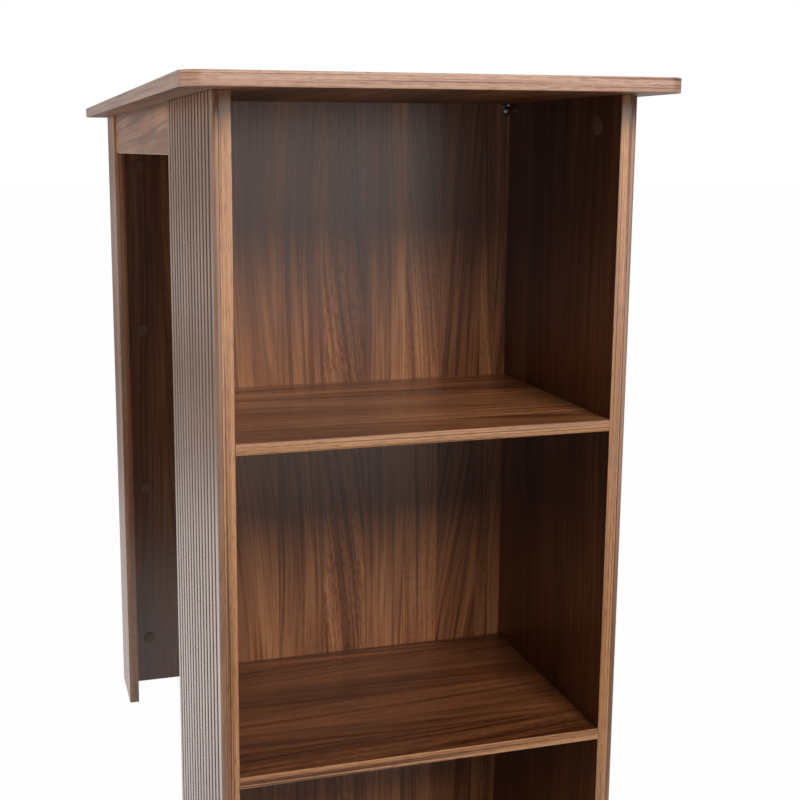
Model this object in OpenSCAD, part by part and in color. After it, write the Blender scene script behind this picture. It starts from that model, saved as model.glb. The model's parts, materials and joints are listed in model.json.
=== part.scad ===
// Counter-height lectern: a long top carried by an open bookcase at the near end
// and by an L-shaped panel leg at the far end, with fluted cladding on the case.
// Millimetres. X is the width, Y runs from the open bookcase front to the far leg,
// Z is up, and the origin is on the floor under the middle of the top.

/* [Top] */
// Length of the top, near end to far end
top_l = 1130; // [950:5:1400]
// Width of the top
top_w = 510; // [440:5:650]
// Thickness of the top
top_t = 15; // [14:0.5:25]
// Radius of the top's four corners, seen from above
top_corner_r = 22; // [5:1:60]
// Height of the top's upper face above the floor
height = 1060; // [900:5:1300]

/* [Overhangs of the top] */
// From the near end to the bookcase front
front_overhang = 47; // [10:0.5:80]
// From the far end to the leg
far_overhang = 38; // [10:0.5:80]
// From the left side to the left fluted face
left_overhang = 36; // [10:0.5:60]
// From the right side to the right fluted face
right_overhang = 30; // [10:0.5:60]

/* [Bookcase] */
// Depth of the bookcase, front edge to rear edge
case_d = 300; // [240:5:400]
// Thickness of the bookcase's side boards
case_t = 12.5; // [12:0.5:20]
// Thickness of the two shelves and the bottom board
shelf_t = 12.5; // [12:0.5:20]
// Clear height of the upper and of the middle compartment
open_h = 341; // [250:1:380]
// Thickness of the back panel
back_t = 15; // [12:0.5:20]
// How far the back panel sits inside the side boards' rear edges
back_inset = 3; // [0:0.5:10]
// Width of the upright stile between the back panel and the right side
stile_w = 16; // [12:0.5:30]

/* [Fluted cladding] */
// Thickness of a fluted panel over its lands
flute_t = 6; // [5:0.5:10]
// Distance from groove to groove
groove_pitch = 20; // [12:1:40]
// Radius of a groove's round bottom
groove_r = 3.5; // [2:0.1:4]
// Gap between a fluted panel and the top
flute_top_gap = 0.5; // [0.5:0.5:6]

/* [Leg and rails] */
// Thickness of the leg's two panels
leg_t = 16; // [15:0.5:22]
// Depth of the return panel, near edge to far edge
return_d = 109; // [90:0.5:200]
// How far the return panel stands proud of the fluted face
return_proud = 1; // [0:0.5:5]
// How far the end panel sits inside the return panel's far edge
end_inset = 6; // [1:0.5:20]
// Height of the apron and of the rear rail
rail_h = 62; // [45:1:120]
// Thickness of the apron and of the rear rail
rail_t = 15; // [12:0.5:20]
// How far the apron's face sits behind the return panel's face
apron_recess = 3; // [0:0.5:6]

/* [Edges and feet] */
// Thickness of the edge bands
band_t = 1; // [0.4:0.1:2]
// Diameter of a floor glide
glide_d = 12; // [8:0.5:12]
// Height of a floor glide
glide_h = 3; // [2:0.5:8]

/* [Cam locks] */
// Diameter of the bore for a cam
cam_bore_d = 15; // [14:0.5:18]
// Wall of board left behind a cam
cam_wall = 2.3; // [1.5:0.1:4]
// Distance of a leg cam from the end panel's edge
leg_cam_edge = 32; // [24:0.5:45]
// Distance of a top cam from its panel's upper edge
top_cam_edge = 30; // [24:0.5:45]
// Distance of a case cam from the case front
case_cam_y = 51; // [30:1:90]
// Distance of the outer leg cams from the panel ends
leg_cam_end = 84; // [70:1:160]
// Diameter of a cover cap
cap_d = 20; // [17:0.5:24]
// Thickness of a cover cap's rim
cap_t = 1.2; // [0.8:0.1:2]

/* [Small hardware] */
// Diameter of the wooden dowels
dowel_d = 6; // [5:0.5:8]
// Length of the wooden dowels
dowel_l = 30; // [25:1:34]
// Shank diameter of the case screws
screw_d = 4.8; // [3.5:0.1:5]
// Length of the case screws
screw_l = 38; // [30:1:50]
// Leg length of a steel angle bracket
bracket_leg = 14; // [14:1:26]
// Width of a steel angle bracket
bracket_w = 10; // [10:1:20]
// Sheet thickness of a steel angle bracket
bracket_t = 1.5; // [1:0.1:3]
// Shank diameter of the bracket screws
bracket_screw_d = 3.5; // [2.5:0.1:4]

/* [Hidden] */
$fn = 48;

WALNUT = "#7a4f38";
WALNUT_EDGE = "#bd8a63";
ZINC = "#a9abad";
STEEL = "#6c6e70";
BEECH = "#d9b98a";
PLASTIC = "#4b3022";
PAINT = "#33251d";

// Clearances
fit = 0.1;          // round hardware in its hole, on the radius
cam_gap = 0.2;      // between a cam and its cap
eps = 0.5;          // overshoot of a cutting shape past a face

// Levels
deck_z = height - top_t;            // underside of the top
foot_z = glide_h;                   // lower edge of every standing panel
panel_h = deck_z - foot_z;
upper_z = deck_z - open_h - shelf_t;
lower_z = upper_z - open_h - shelf_t;
rail_z = deck_z - rail_h;

// Bookcase outline
case_x0 = -top_w / 2 + left_overhang;
case_x1 = top_w / 2 - right_overhang;
case_y0 = -top_l / 2 + front_overhang;
case_y1 = case_y0 + case_d;
left_x0 = case_x0 + flute_t;
right_x1 = case_x1 - flute_t;
inner_x0 = left_x0 + case_t;
inner_x1 = right_x1 - case_t;
inner_w = inner_x1 - inner_x0;
back_y0 = case_y1 - back_inset - back_t;
shelf_d = back_y0 - case_y0;

// Leg outline
return_x0 = case_x0 - return_proud;
return_x1 = return_x0 + leg_t;
return_y1 = top_l / 2 - far_overhang;
return_y0 = return_y1 - return_d;
end_y1 = return_y1 - end_inset;
end_y0 = end_y1 - leg_t;
end_x1 = case_x1;

// Rails
apron_x0 = return_x0 + apron_recess;
apron_y0 = case_y1;
apron_l = return_y0 - apron_y0;
rail_x0 = case_x1 - (apron_x0 - case_x0) - rail_t;
rail_l = end_y0 - case_y1;

// Cams
leg_cam_n = 4;
leg_cam_pitch = (panel_h - 2 * leg_cam_end) / (leg_cam_n - 1);
cap_plug = 1.2;
end_cam_x = [return_x1 + 90, end_x1 - 60];
function leg_cam_z(i) = foot_z + leg_cam_end + i * leg_cam_pitch;
cam_r = cam_bore_d / 2 - fit;
cavity_r = 0.68 * cam_r;            // room for the bolt's head inside a cam
head_d = 0.63 * cam_r;
neck_d = 0.38 * cam_r;
head_l = 2.4;
head_x = sqrt(pow(cavity_r - cam_gap, 2) - pow(head_d / 2, 2));
cam_turn = 180;                     // from locked to open
bolt_d = 6;
bolt_thread = 11;

// Dowels and screws
top_dowel_ys = [case_y0 + 0.4 * case_d, case_y0 + 0.75 * case_d];
end_dowel_xs = [return_x1 + 40, (return_x1 + end_x1) / 2, end_x1 - 25];
rail_dowel_z = rail_z + 0.35 * rail_h;
shelf_dowel_y = case_y0 + 0.5 * case_d;
board_zs = [foot_z + shelf_t / 2, lower_z + shelf_t / 2, upper_z + shelf_t / 2];
case_screw_ys = [case_y0 + 0.15 * case_d, case_y0 + 0.8 * case_d];
back_screw_zs = [for (k = [0:2]) foot_z + 100 + k * (panel_h - 230) / 2];
rail_bracket_n = 3;
rail_bracket_gap = 60;
hook_hole = bracket_leg * 0.6;
bracket_screw_l = 11;

// ---------------------------------------------------------------- shared shapes

module block(x, y, z, w, d, h) {
    translate([x, y, z]) cube([w, d, h]);
}

// Plate with four rounded corners, centred on the origin in X and Y
module rounded_plate(w, l, t, r) {
    block(-w / 2 + r, -l / 2, 0, w - 2 * r, l, t);
    block(-w / 2, -l / 2 + r, 0, w, l - 2 * r, t);
    for (sx = [-1, 1], sy = [-1, 1])
        translate([sx * (w / 2 - r), sy * (l / 2 - r), 0]) cylinder(r = r, h = t);
}

// Child shape placed along one axis, with its local +Z on that axis
module along_x() { rotate([0, 90, 0]) children(); }
module along_y() { rotate([-90, 0, 0]) children(); }

module dowel(l = dowel_l, extra = 0) {
    translate([0, 0, -l / 2 - extra]) cylinder(d = dowel_d + 2 * extra, h = l + 2 * extra);
}

// Flat-head screw: its head's face is at z = 0 and it points along +Z
module flat_screw(d, l, extra = 0) {
    head = 1.8 * d;
    translate([0, 0, extra > 0 ? -eps : 0])
        cylinder(d = head + 2 * extra, h = 0.3 + (extra > 0 ? eps : 0));
    translate([0, 0, 0.3])
        cylinder(d1 = head + 2 * extra, d2 = d + 2 * extra, h = 0.4 * d);
    cylinder(d = d + 2 * extra, h = l + extra);
}

// ---------------------------------------------------------------- cam locks

// Local frame of a cam lock: z = 0 on the panel's face, +Z into the panel,
// and the bolt comes in along the X axis from the +X side.
function bore_depth(t) = t - cam_wall;

module cam_bore(t) {
    translate([0, 0, -eps]) cylinder(d = cam_bore_d, h = bore_depth(t) + eps);
}

module cam_body(t) {
    z0 = cap_plug + cam_gap;
    z1 = bore_depth(t) - fit;
    head_h = head_d + 0.6;
    slot_h = neck_d + 0.6;
    end_angle = 30;     // room for the bolt's neck past the slot's end
    difference() {
        translate([0, 0, z0]) cylinder(r = cam_r, h = z1 - z0);
        translate([0, 0, t / 2 - head_h / 2]) cylinder(r = cavity_r, h = head_h);
        // curved slot that the neck runs along while the cam turns
        rotate([0, 0, -cam_turn]) translate([0, 0, t / 2 - slot_h / 2])
            rotate_extrude(angle = cam_turn + end_angle)
                translate([cavity_r - eps, 0]) square([cam_r, slot_h]);
        // round mouth that the bolt's head enters when the cam is open
        rotate([0, 0, -cam_turn]) translate([0, 0, t / 2]) along_x()
            cylinder(d = head_h, h = cam_r + eps);
        // cross recess for the driver
        for (a = [45, 135]) rotate([0, 0, a])
            translate([-0.65 * cam_r, -0.7, z0 - eps]) cube([1.3 * cam_r, 1.4, 0.9 + eps]);
    }
}

// Bolt held in the mating panel, whose face is "reach" from the cam's axis
module cam_bolt(t, reach) {
    shank_x = cam_bore_d / 2 + 1;
    translate([0, 0, t / 2]) along_x() {
        translate([0, 0, head_x - head_l]) cylinder(d = head_d, h = head_l);
        translate([0, 0, head_x - fit]) cylinder(d = neck_d, h = shank_x + eps - head_x);
        translate([0, 0, shank_x]) cylinder(d = bolt_d, h = reach - shank_x + bolt_thread);
    }
}

// Holes for the bolt: through the cam's own panel, then blind in the mating one
module bolt_bore(t, reach) {
    translate([0, 0, t / 2]) along_x()
        translate([0, 0, cam_bore_d / 2 - 2]) cylinder(d = bolt_d + 2 * fit, h = reach + 2);
}

module bolt_seat(t, reach) {
    translate([0, 0, t / 2]) along_x()
        translate([0, 0, reach - eps]) cylinder(d = bolt_d + 2 * fit, h = bolt_thread + 2 * eps);
}

module cam_cap() {
    translate([0, 0, -cap_t]) cylinder(d1 = cap_d - 1.2, d2 = cap_d, h = cap_t);
    cylinder(d = cam_bore_d - 2 * fit, h = cap_plug);
}

// Places: each one puts its children in the local frame of a cam lock
module at_leg_cam(i) {
    translate([return_x1 + leg_cam_edge, end_y0, leg_cam_z(i)])
        rotate([-90, 0, 0]) rotate([0, 0, 180]) children();
}

module at_left_case_cam() {
    translate([inner_x0, case_y0 + case_cam_y, deck_z - top_cam_edge])
        rotate([0, -90, 0]) children();
}

module at_right_case_cam() {
    translate([inner_x1, case_y0 + case_cam_y, deck_z - top_cam_edge])
        rotate([0, 90, 0]) rotate([0, 0, 180]) children();
}

module at_end_cam(k) {
    translate([end_cam_x[k], end_y0, deck_z - top_cam_edge])
        rotate([-90, 0, 0]) rotate([0, 0, -90]) children();
}

module leg_cam(i) { color(ZINC) at_leg_cam(i) cam_body(leg_t); }
module left_case_cam() { color(ZINC) at_left_case_cam() cam_body(case_t); }
module right_case_cam() { color(ZINC) at_right_case_cam() cam_body(case_t); }
module end_cam(k) { color(ZINC) at_end_cam(k) cam_body(leg_t); }

module leg_cam_bolts() {
    color(STEEL) for (i = [0:leg_cam_n - 1]) at_leg_cam(i) cam_bolt(leg_t, leg_cam_edge);
}

module top_cam_bolts() {
    color(STEEL) {
        at_left_case_cam() cam_bolt(case_t, top_cam_edge);
        at_right_case_cam() cam_bolt(case_t, top_cam_edge);
        for (k = [0, 1]) at_end_cam(k) cam_bolt(leg_t, top_cam_edge);
    }
}

module leg_cam_caps() {
    color(PLASTIC) for (i = [0:leg_cam_n - 1]) at_leg_cam(i) cam_cap();
}

module case_cam_caps() {
    color(PLASTIC) {
        at_left_case_cam() cam_cap();
        at_right_case_cam() cam_cap();
    }
}

module end_cam_caps() {
    color(PLASTIC) for (k = [0, 1]) at_end_cam(k) cam_cap();
}

// ---------------------------------------------------------------- dowels and screws

module leg_dowel_set(extra = 0) {
    for (i = [0:leg_cam_n - 2])
        translate([return_x1 + dowel_l / 2 - 10, end_y0 + leg_t / 2, leg_cam_z(i) + leg_cam_pitch / 2])
            along_x() dowel(extra = extra);
}

// Upright dowels between the top and the panels under it
module top_dowel_set(extra = 0) {
    z = deck_z - dowel_l / 2 + 10;
    for (y = top_dowel_ys, x = [left_x0 + case_t / 2, right_x1 - case_t / 2])
        translate([x, y, z]) dowel(extra = extra);
    for (x = end_dowel_xs)
        translate([x, end_y0 + leg_t / 2, z]) dowel(extra = extra);
}

module shelf_dowel_set(extra = 0) {
    for (z = board_zs) {
        translate([inner_x0 + dowel_l / 2 - 8, shelf_dowel_y, z]) along_x() dowel(extra = extra);
        translate([inner_x1 - dowel_l / 2 + 8, shelf_dowel_y, z]) along_x() dowel(extra = extra);
    }
}

// Dowels in the ends of the apron and of the rear rail
module rail_dowel_set(extra = 0) {
    left_x = left_x0 + case_t / 2;
    right_x = right_x1 - case_t / 2;
    translate([left_x, apron_y0, rail_dowel_z]) along_y() dowel(extra = extra);
    translate([return_x0 + leg_t / 2, return_y0, rail_dowel_z]) along_y() dowel(extra = extra);
    translate([right_x, case_y1, rail_dowel_z]) along_y() dowel(extra = extra);
    translate([right_x, end_y0 - dowel_l / 2 + 10, rail_dowel_z]) along_y() dowel(extra = extra);
}

module leg_dowels() { color(BEECH) leg_dowel_set(); }
module top_dowels() { color(BEECH) top_dowel_set(); }
module shelf_dowels() { color(BEECH) shelf_dowel_set(); }
module rail_dowels() { color(BEECH) rail_dowel_set(); }

// Screws through a side board into the shelves, the bottom board and the back
module side_screw_set(side, extra = 0) {
    x = side < 0 ? left_x0 : right_x1;
    spots = concat([for (y = case_screw_ys, z = board_zs) [y, z]],
        [for (z = back_screw_zs) [back_y0 + back_t / 2, z]]);
    for (s = spots) translate([x, s[0], s[1]])
        rotate([0, side < 0 ? 90 : -90, 0]) flat_screw(screw_d, screw_l, extra);
}

module left_case_screws() { color(STEEL) side_screw_set(-1); }
module right_case_screws() { color(STEEL) side_screw_set(1); }

// ---------------------------------------------------------------- angle brackets

// Bracket in a corner: one leg under the top, one leg down a face that looks along +X
module bracket() {
    w = bracket_w;
    difference() {
        union() {
            block(0, -w / 2, -bracket_t, bracket_leg, w, bracket_t);
            block(0, -w / 2, -bracket_leg, bracket_t, w, bracket_leg);
        }
        translate([hook_hole, 0, -bracket_t - eps])
            cylinder(d = bracket_screw_d + 2 * fit, h = bracket_t + 2 * eps);
        translate([-eps, 0, -hook_hole]) along_x()
            cylinder(d = bracket_screw_d + 2 * fit, h = bracket_t + 2 * eps);
    }
}

// Round-head screw: the head stands on z = 0 and the shank points along -Z
module round_screw(extra = 0) {
    translate([0, 0, -bracket_screw_l - extra])
        cylinder(d = bracket_screw_d + 2 * extra, h = bracket_screw_l + extra);
    cylinder(d1 = 2 * bracket_screw_d, d2 = 1.3 * bracket_screw_d, h = 0.6 * bracket_screw_d);
}

module bracket_screw_pair(extra = 0) {
    translate([hook_hole, 0, -bracket_t]) rotate([180, 0, 0]) round_screw(extra);
    translate([bracket_t, 0, -hook_hole]) rotate([0, 90, 0]) round_screw(extra);
}

function rail_bracket_y(k, y0, l) = y0 + rail_bracket_gap
    + k * (l - 2 * rail_bracket_gap) / (rail_bracket_n - 1);

module at_corner_brackets() {
    for (x = [inner_x0 + bracket_w / 2 + 3, inner_x1 - bracket_w / 2 - 1])
        translate([x, back_y0, deck_z]) rotate([0, 0, -90]) children();
}

module at_rail_brackets() {
    for (k = [0:rail_bracket_n - 1]) {
        translate([apron_x0 + rail_t, rail_bracket_y(k, apron_y0, apron_l), deck_z]) children();
        translate([rail_x0, rail_bracket_y(k, case_y1, rail_l), deck_z])
            rotate([0, 0, 180]) children();
    }
}

module corner_brackets() { color(PAINT) at_corner_brackets() bracket(); }
module rail_brackets() { color(PAINT) at_rail_brackets() bracket(); }

module bracket_screw_set(extra = 0) {
    at_corner_brackets() bracket_screw_pair(extra);
    at_rail_brackets() bracket_screw_pair(extra);
}

module bracket_screws() { color(STEEL) bracket_screw_set(); }

// ---------------------------------------------------------------- glides

glide_pin_d = 2.4;
glide_pin_l = 12;
glide_spots = concat(
    [for (x = [left_x0 + case_t / 2, right_x1 - case_t / 2], y = [case_y0 + 25, case_y1 - 25]) [x, y]],
    [for (x = [return_x1 + 110, end_x1 - 25]) [x, end_y0 + leg_t / 2]],
    [for (y = [return_y0 + 12, return_y1 - 12]) [return_x0 + leg_t / 2, y]]);

module glide_set(extra = 0) {
    for (s = glide_spots) translate([s[0], s[1], 0]) {
        cylinder(d1 = glide_d - 2, d2 = glide_d, h = glide_h);
        cylinder(d = glide_pin_d + 2 * extra, h = glide_h + glide_pin_l + extra);
    }
}

module floor_glides() { color(PLASTIC) glide_set(); }

// ---------------------------------------------------------------- top

module top_panel() {
    color(WALNUT) difference() {
        translate([0, 0, deck_z])
            rounded_plate(top_w - 2 * band_t, top_l - 2 * band_t, top_t, top_corner_r - band_t);
        at_left_case_cam() bolt_seat(case_t, top_cam_edge);
        at_right_case_cam() bolt_seat(case_t, top_cam_edge);
        for (k = [0, 1]) at_end_cam(k) bolt_seat(leg_t, top_cam_edge);
        top_dowel_set(fit);
        bracket_screw_set(fit);
    }
}

module top_edge_band() {
    color(WALNUT_EDGE) translate([0, 0, deck_z]) difference() {
        rounded_plate(top_w, top_l, top_t, top_corner_r);
        translate([0, 0, -eps])
            rounded_plate(top_w - 2 * band_t, top_l - 2 * band_t, top_t + 2 * eps, top_corner_r - band_t);
    }
}

// ---------------------------------------------------------------- bookcase

module side_panel(side) {
    color(WALNUT) difference() {
        block(side < 0 ? left_x0 : inner_x1, case_y0 + band_t, foot_z, case_t, case_d - band_t, panel_h);
        if (side < 0) at_left_case_cam() {
            cam_bore(case_t);
            bolt_bore(case_t, top_cam_edge);
        }
        if (side > 0) at_right_case_cam() {
            cam_bore(case_t);
            bolt_bore(case_t, top_cam_edge);
        }
        side_screw_set(side, fit);
        shelf_dowel_set(fit);
        top_dowel_set(fit);
        rail_dowel_set(fit);
        glide_set(fit);
    }
}

module left_side_panel() { side_panel(-1); }
module right_side_panel() { side_panel(1); }

module left_side_band() {
    color(WALNUT_EDGE) block(left_x0, case_y0, foot_z, case_t, band_t, panel_h);
}

module right_side_band() {
    color(WALNUT_EDGE) block(inner_x1, case_y0, foot_z, case_t, band_t, panel_h);
}

// Outline of a fluted panel seen from above: its back lies on x = 0, its lands on x = -flute_t
module fluted_outline() {
    groove_n = floor(case_d / groove_pitch) - 1;
    first_y = (case_d - (groove_n - 1) * groove_pitch) / 2;
    difference() {
        translate([-flute_t, 0]) square([flute_t, case_d]);
        for (k = [0:groove_n - 1])
            translate([-flute_t, first_y + k * groove_pitch]) circle(r = groove_r);
        // rounded outer corners
        for (m = [0, 1]) translate([0, m * case_d]) mirror([0, m])
            difference() {
                translate([-flute_t - eps, -eps]) square([groove_r + eps, groove_r + eps]);
                translate([-flute_t + groove_r, groove_r]) circle(r = groove_r);
            }
    }
}

module left_fluted_panel() {
    color(WALNUT) translate([left_x0, case_y0, foot_z])
        linear_extrude(height = panel_h - flute_top_gap) fluted_outline();
}

module right_fluted_panel() {
    color(WALNUT) translate([right_x1, case_y0, foot_z])
        linear_extrude(height = panel_h - flute_top_gap) mirror([1, 0]) fluted_outline();
}

module back_panel() {
    color(WALNUT) difference() {
        block(inner_x0, back_y0, foot_z, inner_w - stile_w, back_t, panel_h);
        side_screw_set(-1, fit);
        side_screw_set(1, fit);
        bracket_screw_set(fit);
    }
}

module back_stile() {
    color(WALNUT) difference() {
        block(inner_x1 - stile_w, back_y0, foot_z, stile_w, back_t, panel_h);
        side_screw_set(1, fit);
        bracket_screw_set(fit);
    }
}

// Horizontal board of the bookcase with its underside at z
module case_board(z) {
    color(WALNUT) difference() {
        block(inner_x0, case_y0 + band_t, z, inner_w, shelf_d - band_t, shelf_t);
        side_screw_set(-1, fit);
        side_screw_set(1, fit);
        shelf_dowel_set(fit);
    }
}

module case_board_band(z) {
    color(WALNUT_EDGE) block(inner_x0, case_y0, z, inner_w, band_t, shelf_t);
}

module upper_shelf() { case_board(upper_z); }
module lower_shelf() { case_board(lower_z); }
module bottom_panel() { case_board(foot_z); }
module upper_shelf_band() { case_board_band(upper_z); }
module lower_shelf_band() { case_board_band(lower_z); }
module bottom_panel_band() { case_board_band(foot_z); }

// ---------------------------------------------------------------- rails and leg

module apron() {
    color(WALNUT) difference() {
        block(apron_x0, apron_y0, rail_z + band_t, rail_t, apron_l, rail_h - band_t);
        rail_dowel_set(fit);
        bracket_screw_set(fit);
    }
}

module apron_band() {
    color(WALNUT_EDGE) block(apron_x0, apron_y0, rail_z, rail_t, apron_l, band_t);
}

module rear_rail() {
    color(WALNUT) difference() {
        block(rail_x0, case_y1, rail_z + band_t, rail_t, rail_l, rail_h - band_t);
        rail_dowel_set(fit);
        bracket_screw_set(fit);
    }
}

module rear_rail_band() {
    color(WALNUT_EDGE) block(rail_x0, case_y1, rail_z, rail_t, rail_l, band_t);
}

module return_panel() {
    color(WALNUT) difference() {
        block(return_x0, return_y0 + band_t, foot_z, leg_t, return_d - 2 * band_t, panel_h);
        for (i = [0:leg_cam_n - 1]) at_leg_cam(i) bolt_seat(leg_t, leg_cam_edge);
        leg_dowel_set(fit);
        rail_dowel_set(fit);
        glide_set(fit);
    }
}

module return_panel_bands() {
    color(WALNUT_EDGE) difference() {
        for (y = [return_y0, return_y1 - band_t])
            block(return_x0, y, foot_z, leg_t, band_t, panel_h);
        rail_dowel_set(fit);
    }
}

module end_panel() {
    color(WALNUT) difference() {
        block(return_x1, end_y0, foot_z, end_x1 - return_x1 - band_t, leg_t, panel_h);
        for (i = [0:leg_cam_n - 1]) at_leg_cam(i) {
            cam_bore(leg_t);
            bolt_bore(leg_t, leg_cam_edge);
        }
        for (k = [0, 1]) at_end_cam(k) {
            cam_bore(leg_t);
            bolt_bore(leg_t, top_cam_edge);
        }
        leg_dowel_set(fit);
        top_dowel_set(fit);
        rail_dowel_set(fit);
        glide_set(fit);
    }
}

module end_panel_band() {
    color(WALNUT_EDGE) block(end_x1 - band_t, end_y0, foot_z, band_t, leg_t, panel_h);
}

top_panel();
top_edge_band();
left_side_panel();
right_side_panel();
left_side_band();
right_side_band();
left_fluted_panel();
right_fluted_panel();
back_panel();
back_stile();
upper_shelf();
lower_shelf();
bottom_panel();
upper_shelf_band();
lower_shelf_band();
bottom_panel_band();
apron();
apron_band();
rear_rail();
rear_rail_band();
return_panel();
return_panel_bands();
end_panel();
end_panel_band();
leg_cam(0);  // leg_cam_1
leg_cam(1);  // leg_cam_2
leg_cam(2);  // leg_cam_3
leg_cam(3);  // leg_cam_4
left_case_cam();
right_case_cam();
end_cam(0);  // left_end_cam
end_cam(1);  // right_end_cam
leg_cam_bolts();
top_cam_bolts();
leg_cam_caps();
case_cam_caps();
end_cam_caps();
leg_dowels();
top_dowels();
shelf_dowels();
rail_dowels();
left_case_screws();
right_case_screws();
corner_brackets();
rail_brackets();
bracket_screws();
floor_glides();
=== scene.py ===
# %% [markdown]
# # A standing-height lectern in walnut-pattern laminate
#
# The object is flat-pack furniture: chipboard boards wrapped in a printed walnut film,
# lighter plastic edge bands on their visible edges, ribbed cladding on both outer sides
# of a small bookcase, and an L-shaped panel leg. Its boards are drilled already and sit
# in the frame that is loaded here. This notebook makes what the eye reads as quality:
# the eased bands, the cladding, the small hardware, the wood and the light.

# %% Load the frame
import json
import math

import bmesh
import bpy
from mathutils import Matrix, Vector


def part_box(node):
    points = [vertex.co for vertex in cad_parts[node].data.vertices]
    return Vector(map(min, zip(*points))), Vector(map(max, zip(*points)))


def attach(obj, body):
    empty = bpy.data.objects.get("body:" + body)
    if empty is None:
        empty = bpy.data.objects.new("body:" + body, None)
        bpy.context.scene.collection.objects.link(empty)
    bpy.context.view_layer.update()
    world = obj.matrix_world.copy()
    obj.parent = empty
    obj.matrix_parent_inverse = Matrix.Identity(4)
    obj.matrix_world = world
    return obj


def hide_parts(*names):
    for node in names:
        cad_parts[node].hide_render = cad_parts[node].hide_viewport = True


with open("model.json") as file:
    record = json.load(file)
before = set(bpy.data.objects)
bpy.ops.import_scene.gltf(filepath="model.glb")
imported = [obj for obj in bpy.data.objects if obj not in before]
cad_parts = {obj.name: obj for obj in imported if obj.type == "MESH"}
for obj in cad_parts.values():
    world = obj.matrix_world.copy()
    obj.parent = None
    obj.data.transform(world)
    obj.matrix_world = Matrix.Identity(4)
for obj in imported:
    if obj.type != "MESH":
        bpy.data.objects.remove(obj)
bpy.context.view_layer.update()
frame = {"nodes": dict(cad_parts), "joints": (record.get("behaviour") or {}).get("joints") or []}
BODY = "lectern"
print("boards and hardware loaded:", len(frame["nodes"]))

# %% [markdown]
# ## The camera
#
# A person's eye stands a little left of the open bookcase, just under the height of the
# top, and looks slightly down. The lens is long enough to keep the uprights nearly
# parallel, and a small shift frames the object off centre without turning the camera.

# %% Camera
EYE = (-0.4193, -1.6586, 0.9894)
YAW, PITCH = 15.514, -9.445  # degrees to the right of +Y, and up from level
FILM_WIDTH, LENS = 36, 54.5  # millimetres
SHIFT = (0.0856, -0.0614)  # shares of the picture's width

bpy.ops.object.select_all(action="DESELECT")
bpy.ops.object.camera_add(
    location=EYE, rotation=(math.radians(90 + PITCH), 0, math.radians(-YAW))
)
camera = bpy.context.object
camera.data.sensor_width = FILM_WIDTH
camera.data.lens = LENS
camera.data.shift_x, camera.data.shift_y = SHIFT
bpy.context.scene.camera = camera
print("camera at", tuple(round(c, 3) for c in camera.location))

# %% [markdown]
# ## Small tools for materials
#
# A colour is written the way a designer picks it, as an sRGB hex value, and one function
# turns it to the linear numbers that a shader multiplies. A second function adds one
# node, sets its values and joins its inputs, so that each material below reads as a list,
# and a third starts a material with the shader that all of them end in.


# %% Colour and node helpers
def linear(code):
    """Linear red, green, blue and alpha of an sRGB hex colour such as #7a4f38."""
    parts = [int(code[i : i + 2], 16) / 255 for i in (1, 3, 5)]
    return [c / 12.92 if c <= 0.04045 else ((c + 0.055) / 1.055) ** 2.4 for c in parts] + [1]


def add(tree, kind, inputs=None, stops=(), **settings):
    """Add a node and return its outputs.

    inputs maps a socket's name or number to an output to join or a value to set, stops
    are the positions and colours of a colour ramp, and settings are the node's own.
    """
    made = tree.nodes.new(kind)
    for name, value in settings.items():
        setattr(made, name, value)
    for k, (position, code) in enumerate(stops):
        marks = made.color_ramp.elements
        mark = marks[k] if k < 2 else marks.new(position)  # a new ramp has two marks
        mark.position, mark.color = position, linear(code)
    for name, value in (inputs or {}).items():
        if isinstance(value, bpy.types.NodeSocket):
            tree.links.new(value, made.inputs[name])
        else:
            made.inputs[name].default_value = value
    return made.outputs


def new_material(name):
    """An empty material with its Principled shader: (material, tree, shader)."""
    made = bpy.data.materials.new(name)
    made.use_nodes = True
    return made, made.node_tree, made.node_tree.nodes["Principled BSDF"]


print("white is", linear("#ffffff"))

# %% [markdown]
# ## Walnut film
#
# The boards are covered in paper printed with walnut and sealed with a satin resin. The
# print copies veneer leaves about 55 mm wide, laid edge to edge. Each leaf has its own
# tone and its own slant of grain, and inside it run growth lines some 4 mm apart, fibres
# about 1 mm wide, and pores, which are dark dashes 4 mm long. All of them bend together
# where the tree grew round a branch. So the place on the board is first turned into a
# place in the leaf, and every layer is one stretched noise in that place, with its width
# and length written in millimetres. The resin keeps the gloss even, and the pores are
# pressed in, so they take a little bump.


# %% Walnut film
GRAIN_TURN = {  # turns the board's grain on to the pattern's own Z
    "Z": (0, 0, 0),
    "X": (0, math.radians(90), 0),
    "Y": (math.radians(90), 0, 0),
}
LEAF = 0.055  # mean width of a veneer leaf
SLANT = 0.16  # sideways run of the grain over its length, at most
SWERVE = 0.05  # how far the grain swerves round a branch
WALNUT = ("#7d4f33", "#a16c47", "#bf865b")  # dark, middle and light parts of the print
STREAK = 500  # noise scale, per metre, that makes its light and dark parts 1 mm wide each
PORES_FROM, PORES_TO = 0.15, 0.75  # strength of the pores in tight and in open leaves
PORE_DEPTH = 0.0002
FILM_IOR = 1.62  # resin-sealed print


def streaks(tree, place, width, length, detail=1.0):
    """Noise stretched into streaks of about this width and length in millimetres."""
    across, along = STREAK / width, STREAK / length
    scaled = add(tree, "ShaderNodeMapping", {"Vector": place, "Scale": (across, across, along)})[0]
    return add(
        tree, "ShaderNodeTexNoise",
        {"Vector": scaled, "Scale": 1.0, "Detail": detail, "Roughness": 0.55},
    )["Fac"]


def layered(tree, colour, layers):
    """Multiply (layer, amount) pairs over a colour, as inks are printed over each other."""
    for layer, amount in layers:
        colour = add(
            tree, "ShaderNodeMix", {0: amount, 6: colour, 7: layer},
            data_type="RGBA", blend_type="MULTIPLY",
        )[2]
    return colour


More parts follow.
